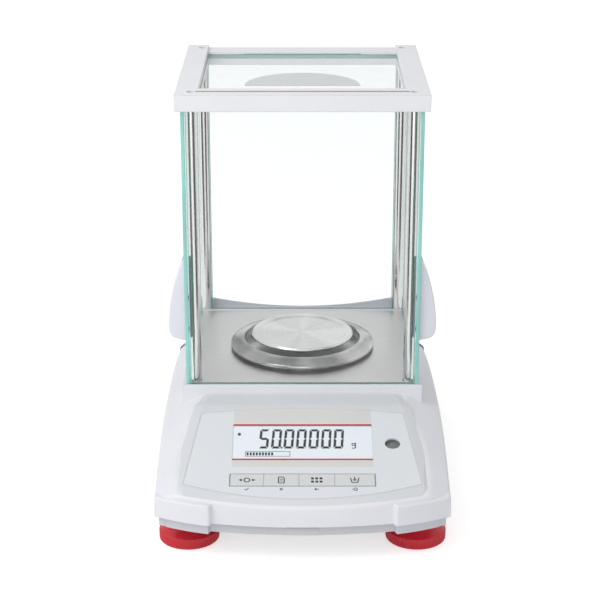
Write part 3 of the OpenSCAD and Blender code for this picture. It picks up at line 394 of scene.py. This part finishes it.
# Seven-segment digits, leaning a little, with mitred segment ends
def makeReadout():
    r = readout
    shapes = []
    for i, digit in enumerate(r["digits"]):
        x0 = r["left"] + r["pitch"] * i
        x1, top, low, t = x0 + r["width"], r["top"], r["bottom"], r["stroke"]
        mid, tall, gap, cut = (top + low) / 2, r["stroke"] * 1.2, r["gap"], r["gap"] + r["mitre"]
        parts = {
            "a": [(x0 + cut, top), (x1 - cut, top), (x1 - t, top + tall), (x0 + t, top + tall)],
            "d": [(x0 + t, low - tall), (x1 - t, low - tall), (x1 - cut, low), (x0 + cut, low)],
            "g": [(x0 + t, mid - tall / 2), (x1 - t, mid - tall / 2), (x1 - t * 0.5, mid),
                  (x1 - t, mid + tall / 2), (x0 + t, mid + tall / 2), (x0 + t * 0.5, mid)],
            "f": [(x0, top + 0.8), (x0 + t, top + tall + gap * 2), (x0 + t, mid - tall / 2 - gap),
                  (x0 + t * 0.4, mid - gap), (x0, mid - gap * 2)],
            "b": [(x1, top + 0.8), (x1 - t, top + tall + gap * 2), (x1 - t, mid - tall / 2 - gap),
                  (x1 - t * 0.4, mid - gap), (x1, mid - gap * 2)],
            "e": [(x0, low - 0.8), (x0 + t, low - tall - gap * 2), (x0 + t, mid + tall / 2 + gap),
                  (x0 + t * 0.4, mid + gap), (x0, mid + gap * 2)],
            "c": [(x1, low - 0.8), (x1 - t, low - tall - gap * 2), (x1 - t, mid + tall / 2 + gap),
                  (x1 - t * 0.4, mid + gap), (x1, mid + gap * 2)],
        }
        shapes += [parts[k] for k in segmentsOf[digit]]
    dotX = r["left"] + r["pitch"] * (r["pointAfter"] + 1) - 1.3
    shapes.append(bar(dotX - 0.55, r["bottom"] - 1.6, dotX + 0.55, r["bottom"]))
    leaning = [[(x + (r["bottom"] - s) * r["slant"], s) for x, s in shape] for shape in shapes]
    depth = {"low": r["low"], "high": r["high"]}
    printed("readout_digits", leaning, "ink", slot="lcd", **depth)
    x, y = r["star"]
    marks = [stroke(x - 1.3 * math.cos(a), y - 1.7 * math.sin(a), x + 1.3 * math.cos(a),
                    y + 1.7 * math.sin(a), r["starStroke"]) for a in (0, math.pi / 3, -math.pi / 3)]
    x, y = r["unit"]
    tail = [(x + 1.25, y - 1.7), (x + 1.25, y + 2.9)] + circle(x, y + 2.9, 1.25, 8, 0, 150)
    unit = strokes(circle(x, y, r["unitR"], 16), r["unitStroke"], True) + strokes(tail, r["unitStroke"])
    x0, top, x1, low = r["guide"]
    guide = strokes([(x0, top), (x1, top), (x1, low), (x0, low)], r["guideStroke"], True)
    guide += [bar(x0 + 0.9 + 2.2 * i, top + 1, x0 + 2.3 + 2.2 * i, low - 1) for i in range(r["guideBars"])]
    printed("readout_marks", marks + unit + guide, "ink", slot="lcd", **depth)


makeReadout()


keyMarks = {
    "middles": {"zero": -39.15, "print": -14.95, "mode": 10.0, "tare": 36.8},
    "middleS": 76.2, "lowerS": 85.3,
    "bold": 0.8, "line": 0.75, "arrow": 0.7, "thin": 0.6,
}


# Sign of one key, round the middle of the key
def keySign(name, x, s):
    k = keyMarks

    def lines(width, *paths, closed=False):
        moved = [[(x + dx, s + ds) for dx, ds in path] for path in paths]
        return [part for path in moved for part in strokes(path, width, closed)]

    if name == "zero":
        return (strokes(circle(x, s, 2.0, 24), k["bold"], True)
                + lines(k["line"], [(-6, 0), (-3.4, 0)], [(6, 0), (3.4, 0)])
                + lines(k["arrow"], [(-4.6, -1), (-3.4, 0), (-4.6, 1)], [(4.6, -1), (3.4, 0), (4.6, 1)]))
    if name == "print":
        return (lines(k["line"], [(-2, -3), (1, -3), (2, -2), (2, 3), (-2, 3)], closed=True)
                + lines(k["thin"], [(-1.1, -0.8), (1.1, -0.8)], [(-1.1, 1.0), (1.1, 1.0)]))
    if name == "mode":
        return [bar(x + dx - 1.0, s + ds - 1.0, x + dx + 1.0, s + ds + 1.0)
                for dx in (-3, 0, 3) for ds in (-1.6, 1.6)]
    return (lines(k["line"], [(-3, -2.2), (-2, 2.4), (2, 2.4), (3, -2.2)], [(0, -3), (0, 0.6)])
            + lines(k["arrow"], [(-1.1, -0.6), (0, 0.6), (1.1, -0.6)]))


def makeKeyMarks():
    k = keyMarks
    for name, x in k["middles"].items():
        printed("mark_" + name, keySign(name, x, k["middleS"]), "ink", body=name + "_key", slot="keys",
                low=0.1, high=0.13)
    s = k["lowerS"]
    paths = [[(-40.6, s), (-39.6, s + 1.1), (-37.8, s - 1.2)],
             [(-15.9, s - 1), (-13.9, s + 1)], [(-13.9, s - 1), (-15.9, s + 1)],
             [(11.6, s), (8.6, s)], [(9.6, s - 1), (8.6, s), (9.6, s + 1)],
             [(36, s - 1.1), (38.2, s - 1.1), (38.2, s + 1.1), (36, s + 1.1)], [(34.6, s), (36.9, s)]]
    printed("print_sub_marks", [part for path in paths for part in strokes(path, k["thin"])], "ink")


makeKeyMarks()
print("panel printed")


# Panes: bevelled sheets with a tinted edge all round
def makePane(name, body, chamfer=0.5):
    low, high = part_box(name)
    bm = bmesh.new()
    addBlock(bm, low, high, chamfer * mm, 1)
    thin = min(range(3), key=lambda i: (high - low)[i])
    bmesh.ops.recalc_face_normals(bm, faces=bm.faces)
    for face in bm.faces:
        face.material_index = 0 if abs(face.normal[thin]) > 0.95 else 1
    mesh = closeMesh(bm, name + "_sheet", 20)
    meshPiece(name + "_sheet", mesh, body, ["pane", "paneEdge"], [name])


for name, body in (("front_glass", "base"), ("rear_glass", "base"), ("left_door_glass", "left_door"),
                   ("right_door_glass", "right_door"), ("top_glass", "top_door")):
    makePane(name, body)
print("panes made")


# Housing: shoulders, sloped front and the block under the chamber as one skin
housingShape = {
    "edge": 2.2, "cell": 1.5, "shoulderZ": 65.0, "shoulderY": -30.0, "frontR": 300.0, "rearR": 780.0,
    "shoulderSlope": 0.515, "planR": 341.0, "cornerR": 24.0, "panelDrop": 1.6, "bandZ": 80.0, "bottom": 30.6,
    "plinthX": 90.1, "plinthFront": -38.6, "lip": 1.5, "ledgeX": 84.2, "ledgeZ": 85.2, "bedZ": 85.5,
    "top": 87.0, "bedRear": 122.9, "slotFront": 127.3, "slotRear": 130.7, "slotX": 76.2, "saddleY": 133.95,
    "saddleR": 402.0, "saddleZ": 85.0, "saddleFall": 19.3, "hornZ": 94.0, "levelX": 65.0, "levelS": 38.2,
    "portLow": 34.3, "portHigh": 47.5, "ports": ((-62.3, -29.7), (-22.8, -9.2), (10.7, 21.3)),
    "rim": [0.0, 0.12, 0.3, 0.6, 1.0, 1.5, 2.2], "saddleRun": 6.0, "levelClear": 9.0, "blend": 1.2,
    "rowsFrom": -132.0, "step": 0.02,
}


# Heights over the plan, on a grid that is finer at the rim and at each step, with walls down from its edge
def makeHousing():
    h = housingShape
    low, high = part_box("upper_housing")
    halfW, frontY, rearY = high.x / mm, low.y / mm, high.y / mm
    tiltTan, tiltCos = math.tan(panelTilt), math.cos(panelTilt)
    panelY, panelZ = panelOrigin.y / mm, panelOrigin.z / mm

    def frontOf(x):
        return frontY + h["planR"] - math.sqrt(h["planR"] ** 2 - x * x)

    def rearOf(x):
        past = max(abs(x) - (halfW - h["cornerR"]), 0.0)
        return rearY - h["cornerR"] + math.sqrt(max(h["cornerR"] ** 2 - past * past, 0.0))

    def edgeDistance(x, y):
        ways = [h["planR"] - math.hypot(x, y - frontY - h["planR"]), halfW - abs(x), rearY - y]
        past = (abs(x) - halfW + h["cornerR"], y - rearY + h["cornerR"])
        if min(past) > 0:
            ways.append(h["cornerR"] - math.hypot(*past))
        return max(min(ways), 0.0)

    def softMin(a, b, k):
        t = min(max(0.5 + 0.5 * (b - a) / k, 0.0), 1.0)
        return b * (1 - t) + a * t - k * t * (1 - t)

    def saddle(x, y):
        fall = math.radians(h["saddleFall"])
        rise = (h["saddleR"] - math.sqrt(h["saddleR"] ** 2 - x * x)) / math.cos(fall)
        return h["saddleZ"] - (y - h["saddleY"] - h["saddleRun"]) * math.tan(fall) + rise

    def plinthTop(x, y):
        if y < h["plinthFront"] + h["lip"]:
            return h["top"]
        if abs(x) > h["ledgeX"]:
            return min(h["ledgeZ"], saddle(x, y)) if y > h["saddleY"] else h["ledgeZ"]
        if y < h["bedRear"]:
            return h["bedZ"]
        if y > h["saddleY"]:
            return min(h["hornZ"], saddle(x, y))
        if h["slotFront"] < y < h["slotRear"] and abs(x) < h["slotX"]:
            return h["bedZ"]
        return h["top"]

    def height(x, y):
        if abs(x) < h["plinthX"] and y > h["plinthFront"]:
            return plinthTop(x, y)
        r = h["frontR"] if y < h["shoulderY"] else h["rearR"]
        reach = r + h["shoulderSlope"] * (halfW - abs(x))
        shoulder = h["shoulderZ"] - r + math.sqrt(max(reach ** 2 - (y - h["shoulderY"]) ** 2, 0.0))
        if y > h["plinthFront"]:
            return shoulder
        slope = panelZ - h["panelDrop"] / tiltCos + (y - panelY) * tiltTan
        return softMin(shoulder, min(slope, h["bandZ"] - h["panelDrop"]), h["blend"])

    def skin(x, y):
        d, r = edgeDistance(x, y), h["edge"]
        drop = r - math.sqrt(max(r * r - (r - d) ** 2, 0.0)) if d < r else 0.0
        return Vector((x, y, height(x, y) - drop)) * mm

    def pairs(values):
        return [v + side for v in values for side in (-h["step"], h["step"])]

    def fill(special, first, last):
        count = round((last - first) / h["cell"])
        even = [first + (last - first) * i / count for i in range(count + 1)]
        return sorted(special + [v for v in even if all(abs(v - w) > 0.3 * h["cell"] for w in special)])

    rim = h["rim"]
    steps = pairs([h["plinthX"], h["ledgeX"], h["slotX"]])
    ports = [x for span in h["ports"] for x in span]
    sides = [-halfW + r for r in rim] + [halfW - r for r in rim]
    columns = fill(sides + steps + [-v for v in steps] + ports, -halfW, halfW)
    rows = fill(pairs([h["plinthFront"], h["plinthFront"] + h["lip"], h["bedRear"], h["slotFront"],
                       h["slotRear"], h["saddleY"]]), h["rowsFrom"], h["saddleY"] + h["step"])
    bm = bmesh.new()
    grid = []
    for x in columns:
        front, rear = frontOf(x), rearOf(x)
        inFront, behind = front + rim[-1], rear - rim[-1]
        ys = [front + r for r in rim] + [inFront + (rows[0] - inFront) * i / 8 for i in range(1, 8)]
        ys += rows + [rows[-1] + (behind - rows[-1]) * i / 14 for i in range(1, 14)]
        ys += [rear - r for r in reversed(rim)]
        grid.append([bm.verts.new(skin(x, y)) for y in ys])
    levelAt = onPanel(h["levelX"], h["levelS"])
    for a, b in zip(grid, grid[1:]):
        for i in range(len(a) - 1):
            middle = (a[i].co + b[i + 1].co) / 2
            if math.dist(middle.xy, levelAt.xy) > h["levelClear"] * mm:
                bm.faces.new((a[i], b[i], b[i + 1], a[i + 1]))

    def wall(loop, levels, open=()):
        lines = [loop] + [[bm.verts.new((v.co.x, v.co.y, z * mm)) for v in loop] for z in levels]
        for level, (a, b) in enumerate(zip(lines, lines[1:])):
            for i in range(len(a) - 1):
                middle = (a[i].co.x + a[i + 1].co.x) / 2 / mm
                if not (level == 1 and any(first < middle < last for first, last in open)):
                    bm.faces.new((a[i], a[i + 1], b[i + 1], b[i]))

    wall([c[0] for c in grid], [h["bottom"]])
    wall(grid[-1], [h["bottom"]])
    wall([c[-1] for c in grid], [h["portHigh"], h["portLow"], h["bottom"]], h["ports"])
    wall(grid[0], [h["bottom"]])
    mesh = closeMesh(bm, "housing_skin", 30)
    meshPiece("housing_skin", mesh, "base", ["housing"], ["upper_housing"])


podShape = {
    "inner": 65.2, "front": 1.5, "side": 16.9, "radius": 150.0, "lean": 4.2, "top": 46.0, "bottom": 30.6,
    "rear": 62.0, "innerFront": 10.5, "edge": 1.5, "edgesAbove": 40.0, "arcSteps": 28,
}


# Corner pods over the levelling wheels
def makePods():
    p = podShape
    low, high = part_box("upper_housing")
    halfW, frontY = high.x / mm, low.y / mm
    a, b = Vector((p["inner"], frontY + p["front"])), Vector((halfW, frontY + p["side"]))
    chord = b - a
    middle = (a + b) / 2
    reach = math.sqrt(p["radius"] ** 2 - chord.length ** 2 / 4)
    centre = middle + Vector((-chord.y, chord.x)).normalized() * reach
    first, last = [math.atan2(v.y - centre.y, v.x - centre.x) for v in (a, b)]
    arc = [centre + p["radius"] * Vector((math.cos(t), math.sin(t)))
           for t in [first + (last - first) * i / p["arcSteps"] for i in range(p["arcSteps"] + 1)]]
    inner, rear = p["inner"] - p["lean"], frontY + p["rear"]
    outline = [Vector((inner, rear)), Vector((inner, frontY + p["innerFront"]))]
    outline += arc + [Vector((halfW, rear))]
    bm = bmesh.new()
    for side in (-1, 1):
        rings = [[Vector((side * v.x, v.y, z)) * mm for v in outline] for z in (p["bottom"], p["top"])]
        addLoft(bm, rings)
    bmesh.ops.recalc_face_normals(bm, faces=bm.faces)
    sharp = [e for e in bm.edges if len(e.link_faces) == 2 and e.calc_face_angle() > math.radians(25)
             and max(v.co.z for v in e.verts) > p["edgesAbove"] * mm]
    bmesh.ops.bevel(bm, geom=sharp, offset=p["edge"] * mm, segments=4, profile=0.5, affect="EDGES",
                    clamp_overlap=True)
    meshPiece("corner_pods", closeMesh(bm, "corner_pods", 40), "base", ["housing"])


makeHousing()
makePods()
print("housing made")


# Levelling wheels with ribbed rims
wheelShape = {
    "ribs": 64, "depth": 0.6,
    # radius, height and share of the rib's depth, from the underside up
    "profile": [(17.4, 0.45, 0), (20.9, 0.45, 0), (21.5, 0.8, 0.6), (21.8, 1.5, 1), (21.8, 7.7, 1),
                (21.5, 8.3, 0.7), (20.6, 8.7, 0), (18.8, 10.1, 0), (15.0, 13.0, 0), (12.6, 16.4, 0),
                (11.3, 20.0, 0), (11.0, 22.6, 0)],
}


def makeWheel(side):
    name = side + "_foot_wheel"
    low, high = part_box(name)
    centre = (low + high) / 2
    w = wheelShape
    count = w["ribs"] * 6
    bm = bmesh.new()
    rings = []
    for radius, z, share in w["profile"]:
        ring = []
        for i in range(count):
            angle = 2 * math.pi * i / count
            notch = (0.5 - 0.5 * math.cos(w["ribs"] * angle)) ** 0.8 * w["depth"] * share
            reach = (radius - notch) * mm
            ring.append(Vector((centre.x + reach * math.cos(angle), centre.y + reach * math.sin(angle),
                                z * mm)))
        rings.append(ring)
    addLoft(bm, rings)
    mesh = closeMesh(bm, name + "_ribbed", 50)
    meshPiece(name + "_ribbed", mesh, side + "_wheel", ["wheelRed"], [name])


makeWheel("left")
makeWheel("right")


tabShape = {"halfWidth": 11.5, "front": -157.9, "rear": -154.5, "low": 23.0, "high": 29.0, "round": 0.35}


# Moulded tab at the middle of the tray's front
def makeTrayTab():
    t = tabShape
    bm = bmesh.new()
    addBlock(bm, (-t["halfWidth"] * mm, t["front"] * mm, t["low"] * mm),
             (t["halfWidth"] * mm, t["rear"] * mm, t["high"] * mm), t["round"] * mm)
    meshPiece("tray_tab", closeMesh(bm, "tray_tab"), "base", ["tray"])


makeTrayTab()
print("wheels and tab made")


# Door handles: a fin with a soft curved outline, hollow behind
handleShape = {
    "outline": [(0.0, -0.6), (4.5, 0.3), (9.0, 1.7), (11.4, 4.4), (12.5, 9.0), (12.3, 18.0), (10.8, 31.0),
                (7.8, 44.0), (4.0, 54.5), (0.0, 64.0)],
    "foot": 121.0, "wall": 2.2, "round": 1.6, "middle": (4.0, 28.0), "roundSteps": 5,
}


# Catmull-Rom curve through the points
def smoothLine(points, steps):
    padded = [points[0]] + points + [points[-1]]
    line = []
    for a, b, c, d in zip(padded, padded[1:], padded[2:], padded[3:]):
        for i in range(steps):
            t = i / steps
            line.append(tuple(0.5 * (2 * q + (r - p) * t + (2 * p - 5 * q + 4 * r - s) * t * t
                                     + (3 * q - p - 3 * r + s) * t ** 3) for p, q, r, s in zip(a, b, c, d)))
    return line + [points[-1]]


def makeHandle(side):
    name = ("left", "right")[side > 0] + "_handle"
    low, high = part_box(name)
    inner = high.x if side < 0 else low.x
    h = handleShape
    outline = smoothLine(h["outline"], 8)
    middle = h["middle"]

    def ring(inset, y, shrink=0.0):
        points = []
        for x, z in outline:
            dx, dz = x - middle[0], z - middle[1]
            reach = math.hypot(dx, dz)
            scale = (reach - inset) / reach
            px = max(middle[0] + dx * scale, shrink) if x > 0.01 else shrink
            points.append(Vector((inner + side * px * mm, y, (h["foot"] + middle[1] + dz * scale) * mm)))
        return points

    bm = bmesh.new()
    r = h["round"]
    rings = []
    for i in range(h["roundSteps"] + 1):
        a = math.pi / 2 * i / h["roundSteps"]
        rings.append(ring(r * (1 - math.sin(a)), low.y + r * mm * (1 - math.cos(a))))
    rings.append(ring(0, high.y - 0.4 * mm))
    rings.append(ring(0.4, high.y))
    rings.append(ring(h["wall"], high.y, h["wall"] * 0.6))
    rings.append(ring(h["wall"] + 0.3, low.y + (h["wall"] + 1) * mm, h["wall"] * 0.6))
    addLoft(bm, rings)
    mesh = closeMesh(bm, name + "_fin", 40)
    meshPiece(name + "_fin", mesh, name.split("_")[0] + "_door", ["handleWhite"], [name])


makeHandle(-1)
makeHandle(1)
print("handles made")

edgeWidths = {
    "console_frame": 0.5, "floor_plate": 0.25, "key_zero": 0.15, "key_print": 0.15, "key_mode": 0.15,
    "key_tare": 0.15, "accent_strip": 0.15, "top_grip": 0.15, "draft_ring": 0.25, "weighing_pan": 0.3,
}
for name, width in edgeWidths.items():
    softEdges(name, width)


stageLook = {
    "floorSize": 24.0, "floorColor": (0.84, 0.835, 0.83, 1), "floorLift": 0.58, "worldLevel": 0.58,
    "lampAim": (0, 0, 0.12),
    "lamps": {"key_light": (9.0, 0.9, (-0.85, -0.62, 1.2)), "front_fill": (2.2, 0.7, (-0.15, -1.3, 0.35))},
}


# 1 for the rays that show the background plain: camera, glossy and transmission
def backgroundRays(tree):
    rays = nodeOf(tree, "ShaderNodeLightPath")
    seen = rays.outputs["Is Camera Ray"]
    for kind in ("Is Glossy Ray", "Is Transmission Ray"):
        inputs = {0: seen, 1: rays.outputs[kind]}
        seen = nodeOf(tree, "ShaderNodeMath", inputs, operation="MAXIMUM").outputs[0]
    return seen


# Stage: pale floor that keeps the shadow, soft light from the upper left, world without features
def makeStage():
    look = stageLook
    bpy.ops.mesh.primitive_plane_add(size=look["floorSize"], location=(0, 0, 0))
    floor = bpy.context.object
    floor.name = "studio_floor"
    material, tree, bsdf, place = startFinish("floor_pale", look["floorColor"], 0.9)
    lift = nodeOf(tree, "ShaderNodeMath", {0: backgroundRays(tree), 1: look["floorLift"]},
                  operation="MULTIPLY").outputs[0]
    bsdf.inputs["Emission Color"].default_value = (1, 1, 1, 1)
    bsdf.inputs["Specular IOR Level"].default_value = 0.0
    tree.links.new(lift, bsdf.inputs["Emission Strength"])
    floor.data.materials.append(material)

    world = bpy.data.worlds.new("studio_world")
    bpy.context.scene.world = world
    world.use_nodes = True
    tree = world.node_tree
    background = tree.nodes["Background"]
    background.inputs["Color"].default_value = (1, 1, 1, 1)
    inputs = {0: backgroundRays(tree), 3: look["worldLevel"], 4: 1.0}
    level = nodeOf(tree, "ShaderNodeMapRange", inputs).outputs[0]
    tree.links.new(level, background.inputs["Strength"])

    for name, (power, size, spot) in look["lamps"].items():
        light = bpy.data.lights.new(name, "AREA")
        light.energy = power
        light.size = size
        lamp = bpy.data.objects.new(name, light)
        lamp.location = spot
        away = lamp.location - Vector(look["lampAim"])
        lamp.rotation_euler = away.to_track_quat("Z", "Y").to_euler()
        bpy.context.scene.collection.objects.link(lamp)


cardShape = {"spans": ((-66, -24), (22, 68)), "inner": 0.34, "outer": 3.0, "height": 0.001, "steps": 12}


# Dark sectors on the floor in front of the object, which only polished metal reflects
def makeCards():
    c = cardShape
    bm = bmesh.new()
    for first, last in c["spans"]:
        arcs = []
        for reach in (c["inner"], c["outer"]):
            angles = [math.radians(first + (last - first) * i / c["steps"]) for i in range(c["steps"] + 1)]
            arcs.append([bm.verts.new((reach * math.sin(a), -reach * math.cos(a), c["height"]))
                         for a in angles])
        inner, outer = arcs
        for i in range(c["steps"]):
            bm.faces.new((inner[i], inner[i + 1], outer[i + 1], outer[i]))
    cards = bpy.data.objects.new("dark_cards", closeMesh(bm, "dark_cards"))
    bpy.context.scene.collection.objects.link(cards)
    cards.data.materials.append(mouldedFinish("card_dark", (0.03, 0.03, 0.032, 1), 0.9))
    cards.visible_camera = False
    cards.visible_diffuse = False
    cards.visible_shadow = False
    cards.visible_transmission = False


cameraView = {"lens": 102.16, "sensor": 36.0, "eye": (-0.0018, -1.2205, 0.5829), "tilt": 70.095}


def makeCamera():
    view = cameraView
    camera = bpy.data.cameras.new("view")
    camera.lens = view["lens"]
    camera.sensor_width = view["sensor"]
    eye = bpy.data.objects.new("view", camera)
    eye.location = view["eye"]
    eye.rotation_euler = (math.radians(view["tilt"]), 0, 0)
    bpy.context.scene.collection.objects.link(eye)
    bpy.context.scene.camera = eye


makeStage()
makeCards()
makeCamera()
bpy.context.scene.view_settings.view_transform = "Standard"
print("stage set")
